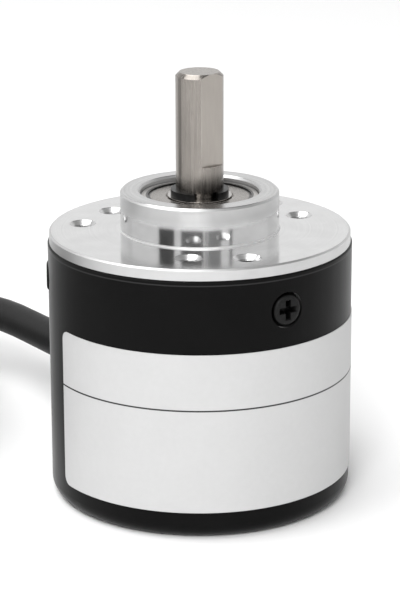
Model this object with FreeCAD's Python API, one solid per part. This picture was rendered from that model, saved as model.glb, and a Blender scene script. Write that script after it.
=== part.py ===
import FreeCAD, Part
import math
import os

# Incremental rotary encoder with a solid shaft, in millimetres.
# The origin is the centre of the can's base, and +Z runs up the shaft.
# An azimuth is counted from -Y, the side with the label, towards +X.

# Can, the cover with the closed base
can_d = 38.4
can_height = 33.1
can_wall = 1.5
can_floor = 1.5
can_base_fillet = 2.0
can_rim_chamfer = 0.2

# Front flange, one turned piece: rim, spigot inside the can, pilot boss and bearing seats
flange_step = 0.2
rim_thickness = 1.4
rim_chamfer = 0.2
spigot_length = 7.6
spigot_clearance = 0.05
spigot_chamfer = 0.4
boss_d = 20.0
boss_height = 5.0
boss_chamfer = 0.3
seat_mouth_chamfer = 0.3
seat_tube_wall = 2.1
relief_width = 2.59
relief_depth = 5.5
shoulder_d = 12.8
shoulder_length = 2.2

# Ball bearings, two alike
bearing_bore_d = 6.0
bearing_od = 15.0
bearing_width = 5.0
front_bearing_recess = 0.7
ball_d = 2.4
ball_count = 7
inner_land_d = 9.0
inner_face_d = 8.1
outer_land_d = 12.1
shield_seat_d = 13.0
shield_hole_d = 8.5
shield_thickness = 0.25
shield_recess = 0.15
cage_inner_d = 9.5
cage_outer_d = 11.5
cage_height = 3.0
cage_window = 2.5
running_clearance = 0.03
fit_clearance = 0.01

# Preload washer, a shallow cone between the shoulder and the rear bearing
washer_inner_d = 13.0
washer_thickness = 0.2
washer_height = 0.4

# Shaft with its driving flat
shaft_reach = 15.0
shaft_tip_chamfer = 0.5
shaft_foot_chamfer = 0.3
flat_depth = 0.5
flat_length = 11.6
flat_azimuth = 38.0

# Snap rings that hold the shaft between the bearings
snap_groove_depth = 0.4
snap_ring_od = 7.3
snap_ring_thickness = 0.8
snap_ring_gap = 3.1
snap_ring_azimuth = 15.0

# Mounting threads in the flange face
face_thread_d = 2.5
face_thread_depth = 4.5
face_countersink_d = 3.5
first_circle_d = 30.0
first_circle_azimuth = 22.3
second_circle_d = 28.0
second_circle_azimuth = -5.7
hole_count = 3

# Screws through the can into the flange
side_screw_azimuth = 33.2
side_screw_drop = 4.5
side_screw_d = 2.0
side_screw_length = 3.6
side_head_d = 3.9
side_head_height = 1.1
side_head_proud = 0.2
side_recess_d = 4.5
screw_hole_clearance = 0.15
thread_clearance = 0.02
cross_width = 0.55
cross_span = 2.3
cross_depth = 0.6

# Label, a thin film on the can
label_start_azimuth = -62.0
label_end_azimuth = 117.0
label_low = 3.6
label_high = 23.9
label_thickness = 0.1
label_corner = 1.2

# Code disc and its hub
hub_top_gap = 0.4
hub_body_d = 10.0
hub_body_length = 4.2
hub_flange_d = 14.0
hub_flange_thickness = 1.4
hub_spigot_d = 8.0
hub_spigot_length = 1.0
disc_post_clearance = 0.55
disc_thickness = 0.5
slot_count = 40
slot_rim = 0.5
slot_length = 1.8
slot_share = 0.5
grub_screw_d = 2.0
grub_screw_azimuths = (123.2, 213.2)
grub_socket_d = 1.0
grub_socket_depth = 0.7
grub_recess = 0.1

# Circuit board, hung below the disc on three posts
board_clearance = 0.5
board_thickness = 1.6
board_drop = 3.7
post_edge_distance = 2.25
post_across_flats = 3.2
post_stud_d = 1.6
post_stud_length = 3.0
post_azimuth = 70.0
board_screw_d = 1.6
board_screw_head_d = 3.2
board_screw_head_height = 1.2
board_screw_length = 4.0

# Light source in its holder, above the disc's slots
emitter_azimuth = 33.2
emitter_d = 3.0
emitter_flange_d = 3.5
emitter_flange_thickness = 0.8
emitter_height = 4.4
emitter_recess = 0.3
emitter_chamfer = 0.5
emitter_wire_d = 0.45
emitter_wire_pitch = 1.6
emitter_wire_inset = 0.4
emitter_wire_wall_distance = 1.3
emitter_wire_bend = 0.6
emitter_wire_tail = 0.7
holder_hub_clearance = 1.9
holder_edge_distance = 1.95
holder_sweep_angle = 44.0
holder_disc_gap = 0.8
holder_screw_angle = 30.0
holder_screw_edge_distance = 3.65
holder_screw_d = 1.6
holder_screw_bite = 2.4
holder_head_d = 2.8
holder_head_height = 1.0

# Light sensor and its slotted mask, below the disc's slots
mask_disc_gap = 0.4
mask_size = 4.6
mask_thickness = 0.5
mask_window_count = 4
mask_window_width = 0.35
mask_window_length = 2.2
mask_window_pitch = 0.8
sensor_length = 6.0
sensor_width = 5.0

# Parts under the board: length, width and height, distance from the board's edge, and azimuth
signal_chip_size = (3.9, 8.7, 1.6)
signal_chip_edge_distance = 8.7
signal_chip_azimuth = 33.2
driver_chip_size = (3.9, 4.9, 1.5)
driver_chip_edge_distance = 7.2
driver_chip_azimuth = 123.2
chip_part_size = (1.25, 2.0, 0.6)
chip_part_edge_distance = 4.2
chip_part_azimuths = (-100.0, -14.0, 0.0, 50.0, 80.0, 150.0)
capacitor_d = 5.0
capacitor_height = 5.4
capacitor_edge_distance = 6.4
capacitor_azimuth = -56.8
socket_size = (4.0, 9.0, 4.6)
socket_wire_run = 5.6
socket_entry_drop = 2.6

# Cable: where it leaves the can, what holds it, and the wires at its inner end
cable_d = 4.8
cable_azimuth = 213.2
cable_height = 9.5
cable_inner_length = 5.1
grommet_neck_d = 6.6
grommet_lip_d = 8.0
grommet_inner_lip = 1.2
grommet_outer_lip = 1.0
grommet_collar_d = 6.4
grommet_tip_d = 5.6
grommet_collar_length = 1.8
clamp_od = 6.4
clamp_length = 2.4
clamp_inset = 0.8
wire_d = 0.9
wire_count = 5
wire_ring_r = 1.2
wire_socket_pitch = 1.5
wire_straight = 1.5

# The cable's route outside the can: straight out to its first bend, then into the coil
cable_first_bend_r = 39.0
cable_route = (
    (-32.0, 48.0, 9.3),
    (-49.0, 56.2, 6.2),
    (-68.0, 53.4, 3.0),
)
arc_share = 0.45

# Coil of the cable's spare length: spiral layers on each other, with room for ties below
coil_centre = (-68.0, 20.8)
coil_middle_d = 52.0
coil_width = 18.0
coil_layers = 3
coil_layer_pitch = 4.9
coil_foot = 0.6
coil_chamfer = 1.2

# Bare wires at the cable's far end, in a notch where the top layer stops short
lead_start_angle = 236.0
lead_sweep = 96.0
lead_margin = 1.5
lead_wire_d = 1.2
lead_bend_count = 3
lead_places = (
    ("lead_red", 18.2, 0.05),
    ("lead_black", 19.5, 0.05),
    ("lead_green", 20.8, 0.05),
    ("lead_white", 18.9, 1.2),
    ("lead_shield", 20.2, 1.2),
)
notch_width = 5.0

# Places that follow from the sizes above
can_r = can_d / 2
can_inner_r = can_r - can_wall
flange_r = can_r - flange_step
spigot_r = can_inner_r - spigot_clearance
seat_r = bearing_od / 2 + fit_clearance
tube_r = seat_r + seat_tube_wall
relief_outer_r = tube_r + relief_width
flange_z = can_height + rim_thickness
boss_z = flange_z + boss_height
spigot_z = can_height - spigot_length
front_bearing_z = boss_z - front_bearing_recess - bearing_width
shoulder_z = front_bearing_z - shoulder_length
rear_bearing_z = shoulder_z - washer_height - bearing_width
front_snap_z = front_bearing_z + bearing_width
rear_snap_z = rear_bearing_z - snap_ring_thickness
shaft_r = bearing_bore_d / 2
shaft_top_z = boss_z + shaft_reach
hub_top_z = rear_snap_z - hub_top_gap
hub_flange_z = hub_top_z - hub_body_length - hub_flange_thickness
disc_z = hub_flange_z - disc_thickness
shaft_foot_z = hub_flange_z - hub_spigot_length
board_top_z = disc_z - board_drop
board_z = board_top_z - board_thickness
board_r = can_inner_r - board_clearance
post_circle_r = spigot_r - post_edge_distance
disc_r = post_circle_r - post_across_flats / math.sqrt(3) - disc_post_clearance
slot_r = disc_r - slot_rim - slot_length / 2
emitter_wire_r = can_inner_r - emitter_wire_wall_distance
mask_z = disc_z - mask_disc_gap - mask_thickness
holder_inner_r = hub_flange_d / 2 + holder_hub_clearance
holder_outer_r = spigot_r - holder_edge_distance
holder_screw_r = spigot_r - holder_screw_edge_distance
holder_z = hub_flange_z + holder_disc_gap
emitter_z = holder_z + emitter_recess
emitter_top_z = emitter_z + emitter_height
head_seat_r = can_r + side_head_proud - side_head_height
side_screw_height = can_height - side_screw_drop
pitch_r = (bearing_bore_d + bearing_od) / 4
cable_r = cable_d / 2
cable_inner_r = can_inner_r - cable_inner_length
socket_face_r = cable_inner_r - socket_wire_run
grommet_tip_r = can_r + grommet_outer_lip + grommet_collar_length
coil_inner_r = (coil_middle_d - coil_width) / 2
coil_outer_r = (coil_middle_d + coil_width) / 2
coil_top_z = coil_foot + (coil_layers - 1) * coil_layer_pitch + cable_d
notch_z = coil_top_z - coil_layer_pitch

ORIGIN = FreeCAD.Vector(0, 0, 0)
X_AXIS = FreeCAD.Vector(1, 0, 0)
Y_AXIS = FreeCAD.Vector(0, 1, 0)
Z_AXIS = FreeCAD.Vector(0, 0, 1)


def facing(shape, azimuth):
    """A feature built towards +X, turned to its azimuth."""
    copy = shape.copy()
    copy.rotate(ORIGIN, Z_AXIS, azimuth - 90)
    return copy


def around(shape, azimuth, count=hole_count):
    """Copies of a feature, equally spaced from its azimuth."""
    return [facing(shape, azimuth + 360 * i / count) for i in range(count)]


def section(corners):
    """A flat face in the XZ plane from its (radius, height) corners."""
    points = [FreeCAD.Vector(r, 0, z) for r, z in corners]
    return Part.Face(Part.makePolygon(points + points[:1]))


def turned(corners):
    """A lathe piece from its closed profile."""
    return section(corners).revolve(ORIGIN, Z_AXIS, 360)


def ring(inner_r, outer_r, low, high):
    return turned([(inner_r, low), (outer_r, low), (outer_r, high), (inner_r, high)])


def sector(inner_r, outer_r, low, high, start, end):
    """Part of a ring between two azimuths."""
    corners = [(inner_r, low), (outer_r, low), (outer_r, high), (inner_r, high)]
    return facing(section(corners).revolve(ORIGIN, Z_AXIS, end - start), start)


def upright(radius, low, high, x=0.0):
    return Part.makeCylinder(radius, high - low, FreeCAD.Vector(x, 0, low))


def radial(radius, near, far, height):
    """A rod along +X at a height, between two distances from the axis."""
    return Part.makeCylinder(radius, far - near, FreeCAD.Vector(near, 0, height), X_AXIS)


def radial_turned(corners, height):
    """A lathe piece about a line along +X: corners are (radius, distance from the axis)."""
    piece = turned(corners)
    piece.rotate(ORIGIN, Y_AXIS, 90)
    piece.translate(FreeCAD.Vector(0, 0, height))
    return piece


def block(length, width, low, high, x=0.0, y=0.0):
    corner = FreeCAD.Vector(x - length / 2, y - width / 2, low)
    return Part.makeBox(length, width, high - low, corner)


def polygon(centre, direction, corner_r, sides):
    """A closed regular outline across a direction."""
    across = direction.cross(Z_AXIS if abs(direction.z) < 0.9 else X_AXIS)
    across.normalize()
    upward = direction.cross(across)
    upward.normalize()
    points = []
    for i in range(sides):
        angle = 2 * math.pi * i / sides
        points.append(centre + across * (corner_r * math.cos(angle)) + upward * (corner_r * math.sin(angle)))
    return Part.makePolygon(points + points[:1])


def hexagon_bar(across_flats, low, high, x=0.0):
    outline = polygon(FreeCAD.Vector(x, 0, low), Z_AXIS, across_flats / math.sqrt(3), 6)
    return Part.Face(outline).extrude(FreeCAD.Vector(0, 0, high - low))


def rounded_path(points, bend=None):
    """Straight runs joined by tangent arcs, with the arcs' radii."""
    edges = []
    radii = []
    start = points[0]
    for before, corner, after in zip(points, points[1:], points[2:]):
        back = before - corner
        onward = after - corner
        half_turn = (math.pi - back.getAngle(onward)) / 2
        radius = arc_share * min(back.Length, onward.Length) / math.tan(half_turn)
        if bend:
            radius = min(radius, bend)
        reach = radius * math.tan(half_turn)
        back.normalize()
        onward.normalize()
        middle = back + onward
        middle.normalize()
        first = corner + back * reach
        last = corner + onward * reach
        top = corner + middle * (radius / math.cos(half_turn) - radius)
        edges.append(Part.LineSegment(start, first).toShape())
        edges.append(Part.Arc(first, top, last).toShape())
        radii.append(radius)
        start = last
    edges.append(Part.LineSegment(start, points[-1]).toShape())
    return Part.Wire(edges), radii


def wire_along(points, diameter, bend=None):
    """A round wire along a route, with its path and the radii of its bends."""
    path, radii = rounded_path(points, bend)
    outline = Part.Wire(Part.Circle(points[0], points[1] - points[0], diameter / 2).toShape())
    return path.makePipeShell([outline], True, False), path, radii


def edges_at(shape, height, radius):
    """Circular edges of a turned shape at one height and radius."""
    found = []
    for edge in shape.Edges:
        if isinstance(edge.Curve, Part.Circle) and abs(edge.Curve.Radius - radius) < 0.001:
            if abs(edge.Curve.Center.z - height) < 0.001:
                found.append(edge)
    return found


# Can

def housing_can():
    outside = upright(can_r, 0, can_height)
    outside = outside.makeFillet(can_base_fillet, edges_at(outside, 0, can_r))
    outside = outside.makeChamfer(can_rim_chamfer, edges_at(outside, can_height, can_r))
    can = outside.cut(upright(can_inner_r, can_floor, can_height))
    inside = can_inner_r - can_wall
    beyond = can_r + can_wall
    screw_hole_r = side_screw_d / 2 + screw_hole_clearance
    screw_hole = radial(screw_hole_r, inside, beyond, side_screw_height)
    screw_recess = radial(side_recess_d / 2, head_seat_r, beyond, side_screw_height)
    cable_hole = radial(grommet_neck_d / 2, inside, beyond, cable_height)
    can = can.cut(around(screw_hole, side_screw_azimuth))
    can = can.cut(around(screw_recess, side_screw_azimuth))
    return can.cut(facing(cable_hole, cable_azimuth))


# Front flange

def face_thread(circle_d):
    """A threaded hole in the flange face, with its countersink."""
    core_r = face_thread_d / 2
    sink_r = face_countersink_d / 2
    hole = turned([
        (0, flange_z - face_thread_depth),
        (core_r, flange_z - face_thread_depth),
        (core_r, flange_z - (sink_r - core_r)),
        (sink_r, flange_z),
        (0, flange_z),
    ])
    hole.translate(FreeCAD.Vector(circle_d / 2, 0, 0))
    return hole


def end_hole(screw_d, depth, place):
    """A tapped hole up into the spigot's end."""
    return upright(screw_d / 2 + thread_clearance, spigot_z, spigot_z + depth, place)


def front_flange():
    body = turned([
        (seat_r + seat_mouth_chamfer, boss_z),
        (boss_d / 2 - boss_chamfer, boss_z),
        (boss_d / 2, boss_z - boss_chamfer),
        (boss_d / 2, flange_z),
        (flange_r - rim_chamfer, flange_z),
        (flange_r, flange_z - rim_chamfer),
        (flange_r, can_height),
        (spigot_r, can_height),
        (spigot_r, spigot_z + spigot_chamfer),
        (spigot_r - spigot_chamfer, spigot_z),
        (relief_outer_r, spigot_z),
        (relief_outer_r, spigot_z + relief_depth),
        (tube_r, spigot_z + relief_depth),
        (tube_r, spigot_z),
        (seat_r, spigot_z),
        (seat_r, shoulder_z),
        (shoulder_d / 2, shoulder_z),
        (shoulder_d / 2, front_bearing_z),
        (seat_r, front_bearing_z),
        (seat_r, boss_z - seat_mouth_chamfer),
    ])
    side_hole_r = side_screw_d / 2 + thread_clearance
    side_hole = radial(side_hole_r, head_seat_r - side_screw_length, can_r, side_screw_height)
    post_hole = end_hole(post_stud_d, post_stud_length + thread_clearance, post_circle_r)
    holder_hole = end_hole(holder_screw_d, holder_screw_bite + thread_clearance, holder_screw_r)
    cuts = around(face_thread(first_circle_d), first_circle_azimuth)
    cuts += around(face_thread(second_circle_d), second_circle_azimuth)
    cuts += around(side_hole, side_screw_azimuth)
    cuts += around(post_hole, post_azimuth)
    cuts += beside_emitter(holder_hole)
    return body.cut(cuts)


def side_screws():
    """Pan-head screws with a cross recess, through the can into the spigot."""
    head_top_r = head_seat_r + side_head_height
    tip_r = head_seat_r - side_screw_length + thread_clearance
    screw = radial_turned([
        (0, tip_r),
        (side_screw_d / 2, tip_r),
        (side_screw_d / 2, head_seat_r),
        (side_head_d / 2, head_seat_r),
        (side_head_d / 2, head_top_r),
        (0, head_top_r),
    ], side_screw_height)
    for width, height in ((cross_width, cross_span), (cross_span, cross_width)):
        corner = FreeCAD.Vector(head_top_r - cross_depth, -width / 2, side_screw_height - height / 2)
        screw = screw.cut(Part.makeBox(cross_depth, width, height, corner))
    return Part.makeCompound(around(screw, side_screw_azimuth))


def label():
    film = sector(can_r, can_r + label_thickness, label_low, label_high, label_start_azimuth,
                  label_end_azimuth)
    corners = []
    for edge in film.Edges:
        level = abs(edge.Vertexes[0].Z - edge.Vertexes[-1].Z) < 0.001
        if level and abs(edge.Length - label_thickness) < 0.001:
            corners.append(edge)
    return film.makeFillet(label_corner, corners)


# Bearings

def ball_track(middle_z):
    """The space that the balls sweep, with their running clearance."""
    return Part.makeTorus(pitch_r, ball_d / 2 + running_clearance, FreeCAD.Vector(0, 0, middle_z))


def stepped_ring(profile, base_z):
    """A bearing ring from the corners of its upper half, with its groove for the balls."""
    mirrored = [(r, -z) for r, z in reversed(profile)]
    body = turned(profile + mirrored).cut(ball_track(0))
    body.translate(FreeCAD.Vector(0, 0, base_z + bearing_width / 2))
    return body


def outer_ring(base_z):
    end = bearing_width / 2
    step = end - shield_recess - shield_thickness
    seat_r = shield_seat_d / 2
    land_r = outer_land_d / 2
    return stepped_ring([(land_r, step), (seat_r, step), (seat_r, end), (bearing_od / 2, end)], base_z)


def inner_ring(base_z):
    end = bearing_width / 2
    step = end - shield_recess - shield_thickness
    bore_r = shaft_r + fit_clearance
    face_r = inner_face_d / 2
    land_r = inner_land_d / 2
    return stepped_ring([(land_r, step), (face_r, step), (face_r, end), (bore_r, end)], base_z)


def shields(base_z):
    """The two pressed plates that close a bearing, one on each side."""
    inner_r = shield_hole_d / 2
    outer_r = shield_seat_d / 2 - fit_clearance
    low = base_z + shield_recess
    high = base_z + bearing_width - shield_recess - shield_thickness
    return Part.makeCompound([
        ring(inner_r, outer_r, low, low + shield_thickness),
        ring(inner_r, outer_r, high, high + shield_thickness),
    ])


def balls(base_z):
    ball = Part.makeSphere(ball_d / 2, FreeCAD.Vector(pitch_r, 0, base_z + bearing_width / 2))
    return Part.makeCompound(around(ball, 0, ball_count))


def ball_cage(base_z):
    middle = base_z + bearing_width / 2
    cage = ring(cage_inner_d / 2, cage_outer_d / 2, middle - cage_height / 2, middle + cage_height / 2)
    window = block(cage_outer_d / 2, cage_window, middle - cage_window / 2, middle + cage_window / 2, pitch_r)
    return cage.cut(around(window, 0, ball_count))


def preload_washer():
    low = shoulder_z - washer_height
    inner_r = washer_inner_d / 2
    outer_r = bearing_od / 2 - fit_clearance
    return turned([
        (inner_r, shoulder_z - washer_thickness),
        (outer_r, low),
        (outer_r, low + washer_thickness),
        (inner_r, shoulder_z),
    ])


# Shaft and what turns with it

def snap_groove(low):
    groove_r = shaft_r - snap_groove_depth
    return ring(groove_r, shaft_r + snap_groove_depth, low, low + snap_ring_thickness)


def shaft():
    """A ground pin. Its full round ends where the flat begins, so each stretch is a face of its own."""
    flat_z = shaft_top_z - flat_length
    body = turned([
        (0, shaft_foot_z),
        (shaft_r - shaft_foot_chamfer, shaft_foot_z),
        (shaft_r, shaft_foot_z + shaft_foot_chamfer),
        (shaft_r, flat_z),
        (shaft_r, shaft_top_z - shaft_tip_chamfer),
        (shaft_r - shaft_tip_chamfer, shaft_top_z),
        (0, shaft_top_z),
    ])
    flat_x = shaft_r - flat_depth
    flat = block(shaft_r, bearing_bore_d, flat_z, shaft_top_z, flat_x + shaft_r / 2)
    return body.cut([snap_groove(front_snap_z), snap_groove(rear_snap_z), facing(flat, flat_azimuth)])


def snap_ring(low):
    """An open ring sprung into its groove."""
    inner_r = shaft_r - snap_groove_depth + fit_clearance
    high = low + snap_ring_thickness
    closed = ring(inner_r, snap_ring_od / 2, low, high)
    gap = block(snap_ring_od, snap_ring_gap, low, high, snap_ring_od / 2)
    return closed.cut(facing(gap, snap_ring_azimuth))


def disc_hub():
    bore_r = shaft_r + fit_clearance
    body_r = hub_body_d / 2
    hub = turned([
        (bore_r, shaft_foot_z),
        (hub_spigot_d / 2, shaft_foot_z),
        (hub_spigot_d / 2, hub_flange_z),
        (hub_flange_d / 2, hub_flange_z),
        (hub_flange_d / 2, hub_flange_z + hub_flange_thickness),
        (body_r, hub_flange_z + hub_flange_thickness),
        (body_r, hub_top_z),
        (bore_r, hub_top_z),
    ])
    hole = radial(grub_screw_d / 2 + thread_clearance, shaft_r - fit_clearance, body_r, grub_height())
    return hub.cut([facing(hole, azimuth) for azimuth in grub_screw_azimuths])


def grub_height():
    return (hub_top_z + hub_flange_z + hub_flange_thickness) / 2


def hub_grub_screws():
    outer_end = hub_body_d / 2 - grub_recess
    screw = radial(grub_screw_d / 2, shaft_r + fit_clearance, outer_end, grub_height())
    centre = FreeCAD.Vector(outer_end - grub_socket_depth, 0, grub_height())
    socket = Part.Face(polygon(centre, X_AXIS, grub_socket_d / math.sqrt(3), 6))
    screw = screw.cut(socket.extrude(FreeCAD.Vector(grub_socket_depth, 0, 0)))
    return Part.makeCompound([facing(screw, azimuth) for azimuth in grub_screw_azimuths])


def code_disc():
    disc = ring(hub_spigot_d / 2 + fit_clearance, disc_r, disc_z, hub_flange_z)
    slot_width = slot_share * 2 * math.pi * slot_r / slot_count
    slot = block(slot_length, slot_width, disc_z, hub_flange_z, slot_r)
    return disc.cut(around(slot, 0, slot_count))


# Circuit board and what hangs it from the flange

def board_screw_hole_depth():
    return board_screw_length - board_thickness + thread_clearance


def board_posts():
    """Six-sided posts with a threaded stud at the top and a threaded hole at the foot."""
    post = hexagon_bar(post_across_flats, board_top_z, spigot_z, post_circle_r)
    post = post.fuse(upright(post_stud_d / 2, spigot_z, spigot_z + post_stud_length, post_circle_r))
    hole_top = board_top_z + board_screw_hole_depth()
    post = post.cut(upright(board_screw_d / 2 + thread_clearance, board_top_z, hole_top, post_circle_r))
    return Part.makeCompound(around(post, post_azimuth))


def circuit_board():
    board = upright(board_r, board_z, board_top_z)
    screw_hole_r = board_screw_d / 2 + screw_hole_clearance
    screw_hole = upright(screw_hole_r, board_z, board_top_z, post_circle_r)
    cuts = around(screw_hole, post_azimuth)
    for side in (-1, 1):
        wire_hole = upright(emitter_wire_d / 2 + screw_hole_clearance, board_z, board_top_z, emitter_wire_r)
        wire_hole.translate(FreeCAD.Vector(0, side * emitter_wire_pitch / 2, 0))
        cuts.append(facing(wire_hole, emitter_azimuth))
    return board.cut(cuts)


def board_screws():
    screw = turned([
        (0, board_z - board_screw_head_height),
        (board_screw_head_d / 2, board_z - board_screw_head_height),
        (board_screw_head_d / 2, board_z),
        (board_screw_d / 2, board_z),
        (board_screw_d / 2, board_z + board_screw_length),
        (0, board_z + board_screw_length),
    ])
    screw.translate(FreeCAD.Vector(post_circle_r, 0, 0))
    return Part.makeCompound(around(screw, post_azimuth))


def under_board(size, radius, azimuth):
    """A component that hangs from the board's underside."""
    length, width, height = size
    return facing(block(length, width, board_z - height, board_z, radius), azimuth)


def chip_parts():
    place = board_r - chip_part_edge_distance
    return Part.makeCompound([under_board(chip_part_size, place, azimuth) for azimuth in chip_part_azimuths])


def capacitor():
    place = board_r - capacitor_edge_distance
    return facing(upright(capacitor_d / 2, board_z - capacitor_height, board_z, place), capacitor_azimuth)


# Light source, mask and sensor

def beside_emitter(shape):
    """A feature on both sides of the emitter."""
    azimuths = (emitter_azimuth - holder_screw_angle / 2, emitter_azimuth + holder_screw_angle / 2)
    return [facing(shape, azimuth) for azimuth in azimuths]


def emitter_holder():
    half = holder_sweep_angle / 2
    holder = sector(holder_inner_r, holder_outer_r, holder_z, spigot_z, emitter_azimuth - half,
                    emitter_azimuth + half)
    flange_low = emitter_top_z - emitter_flange_thickness
    groove_width = emitter_wire_pitch + 2 * emitter_wire_d
    groove_length = 2 * (holder_outer_r - slot_r)
    cuts = [
        facing(upright(emitter_d / 2 + thread_clearance, holder_z, spigot_z, slot_r), emitter_azimuth),
        facing(upright(emitter_flange_d / 2 + thread_clearance, flange_low, spigot_z, slot_r),
               emitter_azimuth),
        facing(block(groove_length, groove_width, emitter_top_z, spigot_z, slot_r + groove_length / 2),
               emitter_azimuth),
    ]
    shank_r = holder_screw_d / 2 + thread_clearance
    head_r = holder_head_d / 2 + thread_clearance
    cuts += beside_emitter(upright(shank_r, holder_z, spigot_z, holder_screw_r))
    cuts += beside_emitter(upright(head_r, holder_z, holder_z + holder_head_height, holder_screw_r))
    return holder.cut(cuts)


def holder_screws():
    screw = turned([
        (0, holder_z),
        (holder_head_d / 2, holder_z),
        (holder_head_d / 2, holder_z + holder_head_height),
        (holder_screw_d / 2, holder_z + holder_head_height),
        (holder_screw_d / 2, spigot_z + holder_screw_bite),
        (0, spigot_z + holder_screw_bite),
    ])
    screw.translate(FreeCAD.Vector(holder_screw_r, 0, 0))
    return Part.makeCompound(beside_emitter(screw))


def light_emitter():
    body_r = emitter_d / 2
    flange_low = emitter_top_z - emitter_flange_thickness
    emitter = turned([
        (0, emitter_z),
        (body_r - emitter_chamfer, emitter_z),
        (body_r, emitter_z + emitter_chamfer),
        (body_r, flange_low),
        (emitter_flange_d / 2, flange_low),
        (emitter_flange_d / 2, emitter_top_z),
        (0, emitter_top_z),
    ])
    emitter.translate(FreeCAD.Vector(slot_r, 0, 0))
    return facing(emitter, emitter_azimuth)


def emitter_wires():
    """The two wires from the emitter over the holder's top and down into the board."""
    top = emitter_top_z + emitter_wire_d / 2
    wires = []
    for side in (-1, 1):
        y = side * emitter_wire_pitch / 2
        route = [
            FreeCAD.Vector(slot_r - emitter_wire_inset, y, top),
            FreeCAD.Vector(emitter_wire_r, y, top),
            FreeCAD.Vector(emitter_wire_r, y, board_z - emitter_wire_tail),
        ]
        wire = wire_along(route, emitter_wire_d, emitter_wire_bend)[0]
        wires.append(facing(wire, emitter_azimuth))
    return Part.makeCompound(wires)


def sensor_mask():
    mask = block(mask_size, mask_size, mask_z, mask_z + mask_thickness, slot_r)
    cuts = []
    for i in range(mask_window_count):
        y = (i - (mask_window_count - 1) / 2) * mask_window_pitch
        cuts.append(block(mask_window_length, mask_window_width, mask_z, mask_z + mask_thickness, slot_r, y))
    return facing(mask.cut(cuts), emitter_azimuth)


def light_sensor():
    return facing(block(sensor_length, sensor_width, board_top_z, mask_z, slot_r), emitter_azimuth)


# Cable

def cable_grommet():
    """A rubber bush that grips the edge of the can's hole between its two lips."""
    bore_r = cable_r + fit_clearance
    lip_r = grommet_lip_d / 2
    outer_lip_end = can_r + grommet_outer_lip
    bush = radial_turned([
        (bore_r, can_inner_r - grommet_inner_lip),
        (lip_r, can_inner_r - grommet_inner_lip),
        (lip_r, outer_lip_end),
        (grommet_collar_d / 2, outer_lip_end),
        (grommet_tip_d / 2, grommet_tip_r),
        (bore_r, grommet_tip_r),
    ], cable_height)
    wall = ring(can_inner_r, can_r, cable_height - grommet_lip_d, cable_height + grommet_lip_d)
    wall = wall.cut(radial(grommet_neck_d / 2 - thread_clearance, 0, 2 * can_r, cable_height))
    return facing(bush.cut(wall), cable_azimuth)


def cable_clamp():
    """A metal ferrule crimped on the cable inside, so that it can't be pulled out."""
    near = cable_inner_r + clamp_inset
    corners = [
        (cable_r + fit_clearance, near),
        (clamp_od / 2, near),
        (clamp_od / 2, near + clamp_length),
        (cable_r + fit_clearance, near + clamp_length),
    ]
    return facing(radial_turned(corners, cable_height), cable_azimuth)


def cable_inner_end():
    return facing(radial(cable_r, cable_inner_r, grommet_tip_r, cable_height), cable_azimuth)


def inner_wires():
    """Wires that fan out from the cable's end into the board's socket."""
    ends = []
    for i in range(wire_count):
        angle = 2 * math.pi * i / wire_count
        ends.append((wire_ring_r * math.sin(angle), cable_height + wire_ring_r * math.cos(angle)))
    entry_z = board_z - socket_entry_drop
    wires = []
    for i, (y, z) in enumerate(sorted(ends)):
        slot_y = (i - (wire_count - 1) / 2) * wire_socket_pitch
        route = [
            FreeCAD.Vector(cable_inner_r, y, z),
            FreeCAD.Vector(cable_inner_r - wire_straight, y, z),
            FreeCAD.Vector(socket_face_r + wire_straight, slot_y, entry_z),
            FreeCAD.Vector(socket_face_r, slot_y, entry_z),
        ]
        wires.append(facing(wire_along(route, wire_d)[0], cable_azimuth))
    return Part.makeCompound(wires)


def cable_lead():
    """The cable from the grommet's tip to the coil: its first run continues the cable inside."""
    azimuth = math.radians(cable_azimuth)
    outward = FreeCAD.Vector(math.sin(azimuth), -math.cos(azimuth), 0)
    level = FreeCAD.Vector(0, 0, cable_height)
    points = [level + outward * grommet_tip_r, level + outward * cable_first_bend_r]
    points += [FreeCAD.Vector(*place) for place in cable_route]
    tube, path, radii = wire_along(points, cable_d)
    print("cable arc radii, mm:", [round(radius, 1) for radius in radii])
    expected = math.pi * cable_r ** 2 * path.Length
    print("cable lead, mm: %.1f, volume over section x length: %.5f" % (path.Length, tube.Volume / expected))
    return tube


def at_coil(angle, radius, height):
    """A point by its angle and distance about the coil's middle."""
    x = coil_centre[0] + radius * math.cos(math.radians(angle))
    y = coil_centre[1] + radius * math.sin(math.radians(angle))
    return FreeCAD.Vector(x, y, height)


def cable_coil():
    """The coil's outer shape, with a notch in its top layer beyond the cable's end."""
    cut = coil_chamfer
    coil = turned([
        (coil_inner_r + cut, 0),
        (coil_outer_r - cut, 0),
        (coil_outer_r, cut),
        (coil_outer_r, coil_top_z - cut),
        (coil_outer_r - cut, coil_top_z),
        (coil_inner_r + cut, coil_top_z),
        (coil_inner_r, coil_top_z - cut),
        (coil_inner_r, cut),
    ])
    corners = [
        (coil_inner_r - cut, notch_z),
        (coil_inner_r + notch_width, notch_z),
        (coil_inner_r + notch_width, coil_top_z),
        (coil_inner_r - cut, coil_top_z),
    ]
    notch = section(corners).revolve(ORIGIN, Z_AXIS, lead_sweep)
    notch.rotate(ORIGIN, Z_AXIS, lead_start_angle)
    coil = coil.cut(notch)
    coil.translate(FreeCAD.Vector(coil_centre[0], coil_centre[1], 0))
    return coil


def lead_wire(radius, lift):
    height = notch_z + lift + lead_wire_d / 2
    step = (lead_sweep - 2 * lead_margin) / (lead_bend_count + 1)
    angles = [lead_start_angle + lead_margin + step * i for i in range(lead_bend_count + 2)]
    return wire_along([at_coil(angle, radius, height) for angle in angles], lead_wire_d)[0]


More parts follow.
